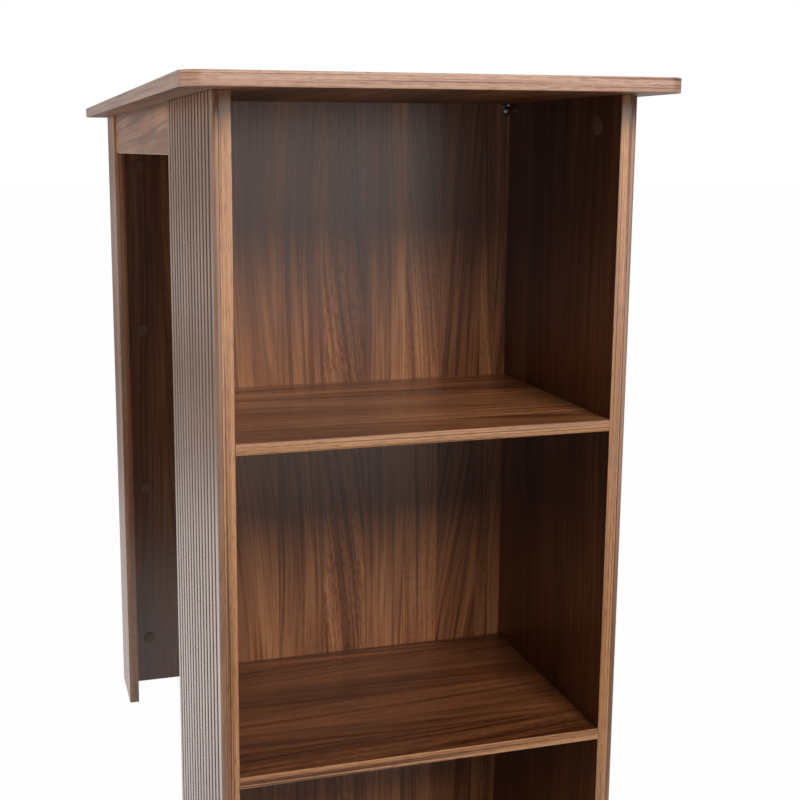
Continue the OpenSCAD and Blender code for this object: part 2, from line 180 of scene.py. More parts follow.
def walnut_film(name, grain, shift, tones=WALNUT, rough=0.30, ink=0.8, coat=0.0):
    """Printed walnut along the axis grain.

    shift picks the part of the sheet, ink is the print's contrast, and coat is the
    strength of a clear lacquer over it.
    """
    made, tree, shader = new_material(name)
    place = add(tree, "ShaderNodeTexCoord")["Object"]
    turned = add(
        tree, "ShaderNodeMapping",
        {"Vector": place, "Location": shift, "Rotation": GRAIN_TURN[grain]},
    )[0]
    x, y, along = add(tree, "ShaderNodeSeparateXYZ", {0: turned})
    across = add(tree, "ShaderNodeMath", {0: x, 1: y}, operation="ADD")[0]

    leaf = add(
        tree, "ShaderNodeTexVoronoi", {"W": across, "Scale": 1 / LEAF, "Randomness": 0.8},
        voronoi_dimensions="1D",
    )["Color"]
    lean, shade, open_pored = add(tree, "ShaderNodeSeparateXYZ", {0: leaf})
    slope = add(
        tree, "ShaderNodeMath", {0: lean, 1: SLANT, 2: -SLANT / 2}, operation="MULTIPLY_ADD"
    )[0]
    for amount, size in ((along, slope), (streaks(tree, turned, 70, 260, 0.0), SWERVE)):
        across = add(
            tree, "ShaderNodeMath", {0: amount, 1: size, 2: across}, operation="MULTIPLY_ADD"
        )[0]
    in_leaf = add(tree, "ShaderNodeCombineXYZ", {0: across, 1: lean, 2: along})[0]

    inks = []
    for width, length, detail, stops in (
        (22, 260, 2.0, ((0.32, tones[0]), (0.50, tones[1]), (0.68, tones[2]))),  # tone
        (3.4, 240, 1.0, ((0.36, "#ad978b"), (0.50, "#ffffff"))),  # growth lines
        (1.0, 50, 1.0, ((0.36, "#c2b5ae"), (0.56, "#ffffff"))),  # fibres
        (0.6, 4, 0.0, ((0.30, "#8f7667"), (0.50, "#ffffff"))),  # pores
    ):
        noise = streaks(tree, in_leaf, width, length, detail)
        inks.append(add(tree, "ShaderNodeValToRGB", {0: noise}, stops)[0])
    leaf_tone = add(
        tree, "ShaderNodeValToRGB", {0: shade}, ((0.0, "#c6bcb8"), (1.0, "#ffffff"))
    )[0]
    pored = add(
        tree, "ShaderNodeMapRange",
        {
            "Value": open_pored, "From Min": 0.5, "From Max": 0.9,
            "To Min": PORES_FROM * ink, "To Max": PORES_TO * ink,
        },
    )[0]
    base, growth, fibre, dash = inks
    colour = layered(tree, base, ((leaf_tone, ink), (growth, ink), (fibre, ink), (dash, pored)))
    tree.links.new(colour, shader.inputs["Base Color"])
    pressed = {"Height": noise, "Strength": 0.08, "Distance": PORE_DEPTH}  # the last ink, pores
    tree.links.new(add(tree, "ShaderNodeBump", pressed)[0], shader.inputs["Normal"])
    shader.inputs["Roughness"].default_value = rough
    shader.inputs["IOR"].default_value = FILM_IOR
    shader.inputs["Coat Weight"].default_value = coat
    shader.inputs["Coat Roughness"].default_value = 0.2
    return made


print("walnut leaves are", LEAF * 1000, "mm wide")

# %% [markdown]
# ## Edge band
#
# The bands are thin strips of PVC printed with a paler, straighter walnut, glued to the
# sawn edges. At 12 to 16 mm wide they show a warm ground, a few brown lines about 1 mm
# wide that run along the strip with a slight waver, and short flecks. A thin lacquer over
# the print is the coat, which makes the bands a little shinier than the boards.


# %% Edge band
def edge_band(name, run, shift=(0.3, 0.2, 0.1), tones=("#96653e", "#b88459"), line="#74472c"):
    """Printed edge band. run is the axis that its lines follow, or XY to go round the top."""
    made, tree, shader = new_material(name)
    place = add(tree, "ShaderNodeTexCoord")["Object"]
    if run == "XY":  # round a horizontal edge: the lines follow X + Y
        x, y, z = add(tree, "ShaderNodeSeparateXYZ", {0: place})
        along = add(tree, "ShaderNodeMath", {0: x, 1: y}, operation="ADD")[0]
        turned = add(tree, "ShaderNodeCombineXYZ", {0: z, 2: along})[0]
    else:
        turned = add(
            tree, "ShaderNodeMapping",
            {"Vector": place, "Location": shift, "Rotation": GRAIN_TURN[run]},
        )[0]
    inks = []
    for width, length, detail, stops in (
        (2.2, 200, 2.0, ((0.38, tones[0]), (0.60, tones[1]))),  # ground
        (0.9, 260, 1.0, ((0.37, line), (0.42, "#ffffff"))),  # lines
        (0.6, 8, 1.0, ((0.36, "#a68a76"), (0.50, "#ffffff"))),  # flecks
    ):
        noise = streaks(tree, turned, width, length, detail)
        inks.append(add(tree, "ShaderNodeValToRGB", {0: noise}, stops)[0])
    ground, lines, flecks = inks
    colour = layered(tree, ground, ((lines, 0.85), (flecks, 0.5)))
    tree.links.new(colour, shader.inputs["Base Color"])
    shader.inputs["Roughness"].default_value = 0.30
    shader.inputs["IOR"].default_value = FILM_IOR
    shader.inputs["Coat Weight"].default_value = 0.6  # the lacquer
    shader.inputs["Coat Roughness"].default_value = 0.3
    return made


print("an edge band can run along", [*GRAIN_TURN, "XY"])

# %% [markdown]
# ## Metal, plastic and beech
#
# The hidden and half-hidden hardware is die-cast zinc, zinc-plated steel, brown painted
# steel, brown polypropylene and beech. Zinc castings are grainy and dull, plate is
# brighter, paint has a slight orange peel, the caps are moulded with a fine matt grain,
# and beech shows short flecks.


# %% Hardware materials
def grained(name, dark, light, size, metallic, rough, stretch=(1, 1, 1)):
    """A material with a fine mottled grain; size is the grain's width in metres."""
    made, tree, shader = new_material(name)
    place = add(tree, "ShaderNodeTexCoord")["Object"]
    scaled = add(tree, "ShaderNodeMapping", {"Vector": place, "Scale": stretch})[0]
    speck = add(
        tree, "ShaderNodeTexNoise",
        {"Vector": scaled, "Scale": STREAK * 0.001 / size, "Detail": 3.0},
    )["Fac"]
    mottle = add(tree, "ShaderNodeValToRGB", {0: speck}, ((0.35, dark), (0.65, light)))[0]
    tree.links.new(mottle, shader.inputs["Base Color"])
    bump = add(
        tree, "ShaderNodeBump", {"Height": speck, "Strength": 0.2, "Distance": size / 10}
    )[0]
    tree.links.new(bump, shader.inputs["Normal"])
    shader.inputs["Metallic"].default_value = metallic
    shader.inputs["Roughness"].default_value = rough
    return made


# cast: grainy and dull
zinc = grained("die-cast zinc", "#8d9092", "#a9abad", 0.0008, 1.0, 0.45)
# plated and passivated: bright, with soft patches
plated = grained("zinc-plated steel", "#a8a9a6", "#c8c9c6", 0.0015, 1.0, 0.3)
# stoved paint: dark, satin, with a slight orange peel
painted = grained("brown painted steel", "#2a1c14", "#33231a", 0.0012, 0.0, 0.35)
# moulded against a sparked tool: even and matt
brown_cap = grained("brown polypropylene", "#3a241a", "#4a3024", 0.0006, 0.0, 0.5)
pale_cap = grained("light brown polypropylene", "#6e5443", "#7f6452", 0.0006, 0.0, 0.4)
# turned across the fibres: short flecks, no gloss
beech = grained("turned beech", "#c69e6c", "#dcb98a", 0.0008, 0.0, 0.6, (1, 1, 0.3))
print("hardware materials:", [m.name for m in (zinc, plated, painted, brown_cap, pale_cap, beech)])

# %% [markdown]
# ## Which film goes on which board
#
# The factory cuts uprights with their grain upright and shelves with their grain across,
# and each board comes from another part of the sheet. So every board gets its own shift,
# and none looks like a copy of its neighbour. Some tones are painted light and shade: the
# stile is printed paler where light reaches the back's right end, and the right side, the
# lower shelf and, a little, the upper shelf are printed darker where they lie in shade.

# %% Assign the films and hardware materials
films = {
    "top_panel": walnut_film("walnut film, top", "Y", (0.31, 0.12, 0.7), rough=0.45),
    "left_side_panel": walnut_film("walnut film, left side", "Z", (0.1, 0.5, 0.2)),
    # printed darker: painted shade on the right side's shadowed inner face
    "right_side_panel": walnut_film(
        "walnut film, right side", "Z", (0.6, 0.2, 0.4), ("#5a3420", "#75472c", "#8d5a3a")
    ),
    "back_panel": walnut_film("walnut film, back", "Z", (0.2, 0.9, 0.3)),
    # printed paler: painted light where the right end of the back is lit
    "back_stile": walnut_film(
        "walnut film, stile", "Z", (0.9, 0.4, 0.1), ("#9a6541", "#bb8257", "#d29770")
    ),
    # printed a little darker: painted shade on the shelf's shadowed right part
    "upper_shelf": walnut_film(
        "walnut film, upper shelf", "X", (0.7, 0.1, 0.5), ("#76492e", "#97643f", "#b57d54")
    ),
    # printed darker still: painted shade in the lower compartment
    "lower_shelf": walnut_film(
        "walnut film, lower shelf", "X", (0.4, 0.6, 0.9), ("#5c3520", "#794a2c", "#935e3c")
    ),
    "bottom_panel": walnut_film("walnut film, bottom board", "X", (0.8, 0.3, 0.2)),
    "apron": walnut_film("walnut film, apron", "Y", (0.5, 0.8, 0.6)),
    "rear_rail": walnut_film("walnut film, rear rail", "Y", (0.2, 0.3, 0.8)),
    "return_panel": walnut_film("walnut film, leg return", "Z", (0.3, 0.7, 0.1)),
    "end_panel": walnut_film("walnut film, leg end", "Z", (0.9, 0.1, 0.6)),
}
hardware = {
    "cam_bolts": plated, "screws": plated, "brackets": painted, "caps": pale_cap,
    "glides": brown_cap, "dowels": beech, "cam": zinc,
}


def cover(piece, material):
    """Give a piece one material all over."""
    piece.data.materials.clear()
    piece.data.materials.append(material)


for name, film in films.items():
    cover(frame["nodes"][name], film)
for name, node in frame["nodes"].items():
    for ending, material in hardware.items():
        if name not in films and ending in name:
            cover(node, material)
            break
print("boards filmed:", len(films))

# %% [markdown]
# ## Tools for shaping
#
# Each new piece starts as a primitive at its real size and place and is shaped in edit
# mode. Operators act on whatever is selected, so one helper clears the selection and two
# others pick vertices or edges by where they lie. The last ones round what is sharp and
# hand the finished piece to the frame.


# %% Shaping helpers
NEAR = 1e-6  # places closer than this are the same place
FLAT = 0.999  # a face whose normal has more than this of an axis looks along it
SMOOTH_BELOW = 35  # degrees; sharper edges stay sharp


def fresh():
    """Leave edit mode and select nothing."""
    if bpy.context.object and bpy.context.object.mode != "OBJECT":
        bpy.ops.object.mode_set(mode="OBJECT")
    bpy.ops.object.select_all(action="DESELECT")


def pick(test):
    """In edit mode, select just the vertices whose place passes test, and count them."""
    shape = bmesh.from_edit_mesh(bpy.context.object.data)
    bpy.ops.mesh.select_mode(type="VERT")
    bpy.ops.mesh.select_all(action="DESELECT")
    for v in shape.verts:
        v.select = test(v.co)
    shape.select_flush(True)
    bmesh.update_edit_mesh(bpy.context.object.data)
    return sum(v.select for v in shape.verts)


def pick_edges(test):
    """In edit mode, select just the edges whose two ends pass test."""
    shape = bmesh.from_edit_mesh(bpy.context.object.data)
    bpy.ops.mesh.select_mode(type="EDGE")
    bpy.ops.mesh.select_all(action="DESELECT")
    for e in shape.edges:
        e.select = test(e.verts[0].co, e.verts[1].co)
    bmesh.update_edit_mesh(bpy.context.object.data)


def block(name, low, high):
    """A box between two corners, left in edit mode with its place in its mesh."""
    fresh()
    low, high = Vector(low), Vector(high)
    bpy.ops.mesh.primitive_cube_add(size=1, location=(low + high) / 2, scale=high - low)
    bpy.context.object.name = name
    bpy.ops.object.transform_apply(location=True, rotation=True, scale=True)
    bpy.ops.object.mode_set(mode="EDIT")
    return bpy.context.object


def ease_sharp(piece, width):
    """Round all edges of a piece that turn by more than 40 degrees."""
    soft = piece.modifiers.new("eased", "BEVEL")
    soft.width = width
    soft.segments = 2
    soft.limit_method = "ANGLE"
    soft.angle_limit = math.radians(40)
    bpy.ops.object.modifier_apply(modifier=soft.name)


def finish_piece(piece, node, slot, material):
    """Close a shaped piece: smooth its curves, cover it and let it stand for its node."""
    if piece.mode == "EDIT":
        bpy.ops.mesh.select_all(action="SELECT")
        bpy.ops.mesh.normals_make_consistent(inside=False)
        bpy.ops.object.mode_set(mode="OBJECT")
    fresh()
    piece.select_set(True)
    bpy.context.view_layer.objects.active = piece
    bpy.ops.object.transform_apply(location=True, rotation=True, scale=True)
    bpy.ops.object.shade_smooth_by_angle(angle=math.radians(SMOOTH_BELOW))
    cover(piece, material)
    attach(piece, BODY)
    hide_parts(node)
    return piece


helpers = (fresh, pick, pick_edges, block, ease_sharp, finish_piece)
print("helpers:", [helper.__name__ for helper in helpers])

# %% [markdown]
# ## Edge bands with eased arrises
#
# A glued band is trimmed flush and its two arrises are scraped to a radius of about half
# a millimetre. That tiny round is what catches the light as a thin bright line, so each
# band is a block whose outer edges are bevelled in three steps.

# %% Edge bands
BAND = 0.001  # thickness of a band
EASE = 0.0006
pale = edge_band("walnut edge band, upright", "Z")
pale_across = edge_band("walnut edge band, across", "X")
pale_long = edge_band("walnut edge band, rails", "Y")
# The leg's band is printed a little paler than the others: painted light on its shaded front edges.
pale_leg = edge_band("walnut edge band, leg", "Z", (0.7, 0.5, 0.2), ("#9c6742", "#ba8459"))


def banding(name, node, axis, side, material):
    """The band of one board edge. Its face looks along axis, on the side given as +1 or -1."""
    low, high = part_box(node)
    piece = block(name, low, high)
    face = high[axis] if side > 0 else low[axis]
    pick(lambda p: abs(p[axis] - face) < NEAR)
    bpy.ops.mesh.bevel(offset=EASE, segments=3, affect="EDGES")
    return finish_piece(piece, node, "walnut_edge_band", material)


banding("left_upright_edging", "left_side_band", 1, -1, pale)
banding("right_upright_edging", "right_side_band", 1, -1, pale)
banding("upper_shelf_edging", "upper_shelf_band", 1, -1, pale_across)
banding("lower_shelf_edging", "lower_shelf_band", 1, -1, pale_across)
banding("bottom_board_edging", "bottom_panel_band", 1, -1, pale_across)
banding("apron_edging", "apron_band", 2, -1, pale_long)
banding("rear_rail_edging", "rear_rail_band", 2, -1, pale_long)
banding("leg_end_edging", "end_panel_band", 0, 1, pale_leg)
print("bands", BAND * 1000, "mm thick, eased by", EASE * 1000, "mm")

# %% [markdown]
# The leg's return panel is banded on both upright edges, and the frame holds the two
# strips as one node. They are shaped one by one and joined.

# %% Leg return bands
low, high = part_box("return_panel_bands")
strips = []
for side, y in ((-1, low.y), (1, high.y - BAND)):
    strip = block("leg_return_edging", (low.x, y, low.z), (high.x, y + BAND, high.z))
    face = y if side < 0 else y + BAND
    pick(lambda p: abs(p.y - face) < NEAR)
    bpy.ops.mesh.bevel(offset=EASE, segments=3, affect="EDGES")
    fresh()
    strips.append(strip)
for strip in strips:
    strip.select_set(True)
bpy.context.view_layer.objects.active = strips[0]
bpy.ops.object.join()
finish_piece(strips[0], "return_panel_bands", "walnut_edge_band", pale_leg)
print("strips on the leg's return panel:", len(strips))

# %% [markdown]
# ## The band round the top
#
# One strip runs right round the top, bent at the four corners. A plate is rounded at its
# corners, its arrises are eased, and then its two broad faces are inset by the band's
# thickness and bridged, which leaves a ring. Its lines follow the edge round the corner.

# %% Band round the top
low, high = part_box("top_edge_band")
CORNER, TOP_EASE = 0.022, 0.0008
ring = block("top_edging", low, high)
pick_edges(lambda a, b: abs(a.z - b.z) > NEAR)
bpy.ops.mesh.bevel(offset=CORNER, segments=16, affect="EDGES")
pick_edges(lambda a, b: all(min(p.z - low.z, high.z - p.z) < NEAR for p in (a, b)))
bpy.ops.mesh.bevel(offset=TOP_EASE, segments=3, affect="EDGES")
bpy.ops.mesh.select_mode(type="FACE")
bpy.ops.mesh.select_all(action="DESELECT")
shape = bmesh.from_edit_mesh(ring.data)
for f in shape.faces:
    f.select = abs(f.normal.z) > FLAT
bmesh.update_edit_mesh(ring.data)
bpy.ops.mesh.inset(thickness=BAND - TOP_EASE)
bpy.ops.mesh.bridge_edge_loops()
# The top band is printed paler and pinker than the other bands: partly its print, partly painted
# sheen.
sheened_top_band = edge_band("walnut edge band, top", "XY", tones=("#a57b63", "#bd957b"), line="#94664e")
finish_piece(ring, "top_edge_band", "walnut_edge_band", sheened_top_band)
print("top band faces:", len(ring.data.polygons))

# %% [markdown]
# ## Ribbed cladding
#
# Each outer side of the bookcase is clad in a 6 mm board with round-bottomed grooves
# 20 mm apart, and the film is pressed into them. The outline is drawn once from above:
# circles are added at the grooves and corners, the halves that lie in air are deleted,
# and the gaps are joined by edges.

# %% Outline of the ribbed cladding
GROOVE_PITCH, GROOVE = 0.020, 0.0035  # spacing and radius


def ribbed_outline(name, low, high, outer):
    """Draw a ribbed board from above, in edit mode, and return it with its count of grooves.

    outer is -1 if its ribs look towards -X, and +1 otherwise.
    """
    face, back = (low.x, high.x) if outer < 0 else (high.x, low.x)
    inward = -outer
    count = int((high.y - low.y) / GROOVE_PITCH) - 1
    first = (low.y + high.y - (count - 1) * GROOVE_PITCH) / 2
    last = first + (count - 1) * GROOVE_PITCH
    fresh()
    bpy.ops.mesh.primitive_circle_add(vertices=32, radius=GROOVE, location=(face, first, low.z))
    piece = bpy.context.object
    piece.name = name
    bpy.ops.object.transform_apply(location=True, rotation=True, scale=True)
    bpy.ops.object.mode_set(mode="EDIT")
    for k in range(1, count):
        bpy.ops.mesh.primitive_circle_add(
            vertices=32, radius=GROOVE, location=(face, first + k * GROOVE_PITCH, low.z)
        )
    pick(lambda p: (p.x - face) * outer > NEAR)
    bpy.ops.mesh.delete(type="VERT")
    heart = face + inward * GROOVE
    ends = (low.y + GROOVE, high.y - GROOVE)
    for y in ends:
        bpy.ops.mesh.primitive_circle_add(vertices=32, radius=GROOVE, location=(heart, y, low.z))
    pick(
        lambda p: (p.y < ends[0] + 2 * GROOVE or p.y > ends[1] - 2 * GROOVE)
        and (ends[0] + NEAR < p.y < ends[1] - NEAR or (p.x - heart) * inward > NEAR)
        and not first - GROOVE - NEAR <= p.y <= last + GROOVE + NEAR
    )
    bpy.ops.mesh.delete(type="VERT")
    shape = bmesh.from_edit_mesh(piece.data)
    loose = sorted(v.co.y for v in shape.verts if len(v.link_edges) == 1)
    for a, b in zip(loose[1:-1:2], loose[2:-1:2]):
        pick(lambda p: abs(p.x - face) < NEAR and (abs(p.y - a) < NEAR or abs(p.y - b) < NEAR))
        bpy.ops.mesh.edge_face_add()
    for y in (low.y, high.y):
        pick(lambda p: abs(p.y - y) < NEAR)
        bpy.ops.mesh.extrude_region_move(TRANSFORM_OT_translate={"value": (back - heart, 0, 0)})
    pick(lambda p: abs(p.x - back) < NEAR)
    bpy.ops.mesh.edge_face_add()
    return piece, count


print("grooves are", 2 * GROOVE * 1000, "mm wide and", GROOVE_PITCH * 1000, "mm apart")

# %% [markdown]
# The closed outline is filled and extruded upwards, and a narrow bevel takes the
# sharpness off every rib, as the pressed film does.

# %% Ribbed cladding
RIB_EASE = 0.0005


def cladding(name, node, outer, material):
    """A ribbed board that stands for node. outer is -1 or +1, as for its outline."""
    low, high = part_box(node)
    piece, count = ribbed_outline(name, low, high, outer)
    bpy.ops.mesh.select_all(action="SELECT")
    bpy.ops.mesh.edge_face_add()
    bpy.ops.mesh.extrude_region_move(TRANSFORM_OT_translate={"value": (0, 0, high.z - low.z)})
    bpy.ops.mesh.select_all(action="SELECT")
    bpy.ops.mesh.normals_make_consistent(inside=False)
    bpy.ops.object.mode_set(mode="OBJECT")
    ease_sharp(piece, RIB_EASE)
    print(name, "has", count, "grooves and", len(piece.data.polygons), "faces")
    return finish_piece(piece, node, "walnut_laminate", material)


# Its pale, greyish tones and faint print are partly painted sheen, the veil that grazing light lays
# over the ribs.
ribbed = walnut_film(
    "walnut film, ribbed", "Z", (0.15, 0.45, 0.75), ("#85624b", "#926d55", "#9f7960"),
    rough=0.26, ink=0.25, coat=0.3,
)
cladding("left_ribbed_side", "left_fluted_panel", -1, ribbed)
cladding("right_ribbed_side", "right_fluted_panel", 1, ribbed)

# %% [markdown]
# ## Parts that repeat
#
# Caps, brackets, screws and glides come in sets, and a set is one node of the frame. Each
# kind is modelled once and copied to the place of every solid in its node. The frame's
# solids are found by walking from corner to corner along the edges until nothing new is
# met.

# %% Places of the repeated hardware
def solids(node):
    """The corner points of each separate solid in a node."""
    shape = bmesh.new()
    shape.from_mesh(frame["nodes"][node].data)
    bmesh.ops.remove_doubles(shape, verts=shape.verts, dist=1e-7)
    found, seen = [], set()
    for start in shape.verts:
        if start in seen:
            continue
        seen.add(start)
        island, waiting = [], [start]
        while waiting:
            v = waiting.pop()
            island.append(v.co.copy())
            near = {e.other_vert(v) for e in v.link_edges} - seen
            seen |= near
            waiting += near
        found.append(island)
    shape.free()
    return found


def extent(points):
    """The low and high corner of a cloud of points."""
    return [Vector([end(p[i] for p in points) for i in range(3)]) for end in (min, max)]


def copies(pattern, places, name, node, slot, material):
    """Copy a pattern to every (location, rotation) place and let the copies stand for node."""
    made = []
    for location, rotation in places:
        fresh()
        pattern.select_set(True)
        bpy.context.view_layer.objects.active = pattern
        bpy.ops.object.duplicate()
        copy = bpy.context.object
        copy.location, copy.rotation_euler = location, rotation
        bpy.ops.object.transform_apply(location=True, rotation=True, scale=True)
        made.append(copy)
    fresh()
    pattern.select_set(True)
    bpy.ops.object.delete()
    for copy in made:
        copy.select_set(True)
    bpy.context.view_layer.objects.active = made[0]
    bpy.ops.object.join()
    made[0].name = name
    return finish_piece(made[0], node, slot, material)


print("bracket screws to model:", len(solids("bracket_screws")))

# %% [markdown]
# ## Cover caps
#
# A snap-in cap hides each cam. It is a shallow dome with a crisp rim that stands about a
# millimetre off the board, and its plug fills the mouth of the bore. A disc gets a round
# rim, its top is inset and lifted, and its underside is inset and extruded into the plug.

# %% One cover cap
CAP_R, CAP_T, PLUG_R, PLUG_T = 0.010, 0.0012, 0.0074, 0.0012
RIM_EASE, RIM, CROWN = 0.0005, 0.0022, 0.00015


def cap_pattern():
    """A cover cap that sits on z = 0 and looks up, with its plug below."""
    fresh()
    bpy.ops.mesh.primitive_cylinder_add(
        vertices=48, radius=CAP_R, depth=CAP_T, location=(0, 0, CAP_T / 2)
    )
    cap = bpy.context.object
    bpy.ops.object.transform_apply(location=True, rotation=True, scale=True)
    bpy.ops.object.mode_set(mode="EDIT")
    pick(lambda p: p.z > NEAR)
    bpy.ops.mesh.select_mode(type="FACE")
    bpy.ops.mesh.bevel(offset=RIM_EASE, segments=3, affect="EDGES")
    pick(lambda p: p.z > CAP_T - NEAR)
    bpy.ops.mesh.select_mode(type="FACE")
    bpy.ops.mesh.inset(thickness=RIM)
    bpy.ops.transform.translate(value=(0, 0, CROWN))
    pick(lambda p: p.z < NEAR)
    bpy.ops.mesh.select_mode(type="FACE")
    bpy.ops.mesh.inset(thickness=CAP_R - PLUG_R)
    bpy.ops.mesh.extrude_region_move(TRANSFORM_OT_translate={"value": (0, 0, -PLUG_T)})
    fresh()
    return cap


print("a cover cap is", 2 * CAP_R * 1000, "mm across")

# %% [markdown]
# Each cam turns on an axis that the frame gives, and its cap sits where that axis meets
# the face of the board, with its plug pointing along the axis.

# %% Place the cover caps
turns = {j["child"]: j for j in frame["joints"]}
end_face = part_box("end_panel")[0]
board_face = {f"leg_cam_{i}": end_face for i in range(1, 5)}
board_face.update(left_end_cam=end_face, right_end_cam=end_face)
board_face["left_case_cam"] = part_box("left_side_panel")[1]
board_face["right_case_cam"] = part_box("right_side_panel")[0]

for name, node, kind in (
    ("leg_cover_caps", "leg_cam_caps", "leg_cam"),
    ("end_cover_caps", "end_cam_caps", "end_cam"),
    ("case_cover_caps", "case_cam_caps", "case_cam"),
):
    places = []
    for cam, face in board_face.items():
        if kind in cam:
            axis = Vector(turns[cam]["axis"])
            centre = Vector(turns[cam]["pos_m"])
            seat = centre - axis * (centre - face).dot(axis)
            places.append((seat, axis.to_track_quat("-Z", "Y").to_euler()))
    copies(cap_pattern(), places, name, node, "brown_plastic", pale_cap)
    print(name, "modelled:", len(places))

# %% [markdown]
# ## Angle brackets
#
# A bracket is stamped from 1.5 mm steel and folded. A plate is bisected at the fold and
# the strip beside the cut is extruded down, which gives an L. The ends and the bend are
# then bevelled round, and a fine bevel stands for the tumbled edges.

# %% One angle bracket
LEG, WIDTH, SHEET = 0.014, 0.010, 0.0015
END_R, BEND_R, TUMBLED = 0.0028, 0.0014, 0.0002


def bracket_pattern():
    """A bracket with its bend along Y at the origin, its legs along +X and -Z."""
    piece = block("bracket", (0, -WIDTH / 2, -SHEET), (LEG, WIDTH / 2, 0))
    bpy.ops.mesh.select_all(action="SELECT")
    bpy.ops.mesh.bisect(plane_co=(SHEET, 0, 0), plane_no=(1, 0, 0))
    bpy.ops.mesh.select_mode(type="FACE")
    bpy.ops.mesh.select_all(action="DESELECT")
    shape = bmesh.from_edit_mesh(piece.data)
    for f in shape.faces:
        f.select = f.normal.z < -FLAT and f.calc_center_median().x < SHEET
    bmesh.update_edit_mesh(piece.data)
    bpy.ops.mesh.extrude_region_move(TRANSFORM_OT_translate={"value": (0, 0, SHEET - LEG)})
    for radius, is_edge in (
        (END_R, lambda a, b: min(a.x, b.x) > LEG - NEAR and abs(a.z - b.z) > NEAR),
        (END_R, lambda a, b: max(a.z, b.z) < NEAR - LEG and abs(a.x - b.x) > NEAR),
        (BEND_R, lambda a, b: max(a.x, b.x) < NEAR and min(a.z, b.z) > -NEAR),
    ):
        pick_edges(is_edge)
        bpy.ops.mesh.bevel(offset=radius, segments=6, affect="EDGES")
    bpy.ops.object.mode_set(mode="OBJECT")
    ease_sharp(piece, TUMBLED)
    return piece


print("a bracket has legs of", LEG * 1000, "mm")

# %% [markdown]
# A bracket in the frame is an L with its bend up. Most of its corners are on the upright
# leg, so their mean lies on the side of the bend, which tells how the bracket is turned.

# %% Place the brackets
for node in ("corner_brackets", "rail_brackets"):
    places = []
    for points in solids(node):
        low, high = extent(points)
        middle = sum(points, Vector()) / len(points)
        run = 0 if high.x - low.x > high.y - low.y else 1
        at_low = middle[run] < (low[run] + high[run]) / 2
        bend = (low + high) / 2
        bend[run], bend.z = (low if at_low else high)[run], high.z
        places.append((bend, (0, 0, math.radians(90 * run + (0 if at_low else 180)))))
    copies(bracket_pattern(), places, "shaped_" + node, node, "brown_painted_steel", painted)
    print(node, "modelled:", len(places))

# %% [markdown]
# ## Bracket screws
#
# A screw is a cylinder whose upper rim is bevelled into a dome. Its underside is inset
# and extruded into the shank and the point, and two thin blocks cut the cross recess out
# of the head with a boolean.

# %% One bracket screw
HEAD_R, HEAD_H, SHANK_R, SHANK_L = 0.0035, 0.0021, 0.00175, 0.011
DOME = 0.8  # share of the head's height that is rounded
POINT, TIP = 0.2, 0.15  # shares: of the shank that tapers, of its width at the tip
RECESS = (0.0034, 0.0008, 0.0022)  # one arm of the cross


def screw_pattern():
    """A cross-head screw: its head stands on z = 0 and its shank points down."""
    fresh()
    bpy.ops.mesh.primitive_cylinder_add(vertices=32, radius=HEAD_R, depth=HEAD_H)
    piece = bpy.context.object
    bpy.ops.object.mode_set(mode="EDIT")
    pick(lambda p: p.z > 0)
    bpy.ops.mesh.bevel(offset=HEAD_H * DOME, segments=5, affect="EDGES")
    pick(lambda p: p.z < 0)
    bpy.ops.mesh.select_mode(type="FACE")
    bpy.ops.mesh.inset(thickness=HEAD_R - SHANK_R)
    for share in (1 - POINT, POINT):
        bpy.ops.mesh.extrude_region_move(TRANSFORM_OT_translate={"value": (0, 0, -SHANK_L * share)})
    bpy.ops.transform.resize(value=(TIP, TIP, 1))
    fresh()
    for turn in (0, 90):
        bpy.ops.mesh.primitive_cube_add(
            size=1, location=(0, 0, HEAD_H / 2), scale=RECESS,
            rotation=(0, 0, math.radians(turn)),
        )
        cutter = bpy.context.object
        fresh()
        bpy.context.view_layer.objects.active = piece
        recess = piece.modifiers.new("recess", "BOOLEAN")
        recess.object = cutter
        bpy.ops.object.modifier_apply(modifier=recess.name)
        bpy.data.objects.remove(cutter)
    piece.select_set(True)
    piece.location.z = HEAD_H / 2
    bpy.ops.object.transform_apply(location=True, rotation=True, scale=True)
    return piece


print("a bracket screw is", (HEAD_H + SHANK_L) * 1000, "mm long")

# %% [markdown]
# A screw in the frame is a head and a shank along one axis. The axis is the longest side
# of its extent, and the corner that lies farthest off it belongs to the head, so that
# corner tells where the head sits and which way it looks.

# %% Place the bracket screws
places = []
for points in solids("bracket_screws"):
    low, high = extent(points)
    centre, size = (low + high) / 2, high - low
    axis = max(range(3), key=lambda i: size[i])
    off = [Vector([0 if i == axis else (p - centre)[i] for i in range(3)]) for p in points]
    seat = max(zip(off, points), key=lambda pair: pair[0].length)[1][axis]
    way = Vector([0, 0, 0])
    way[axis] = 1 if seat > centre[axis] else -1
    place = centre.copy()
    place[axis] = seat
    places.append((place, way.to_track_quat("Z", "Y").to_euler()))
name = "shaped_bracket_screws"
copies(screw_pattern(), places, name, "bracket_screws", "zinc_plated_steel", plated)
print("bracket screws modelled:", len(places))

# %% [markdown]
# ## Floor glides
#
# A glide is a moulded foot with a pin that is knocked into the board. A short cylinder
# gets a round lower rim, and its top is inset and extruded into the pin.

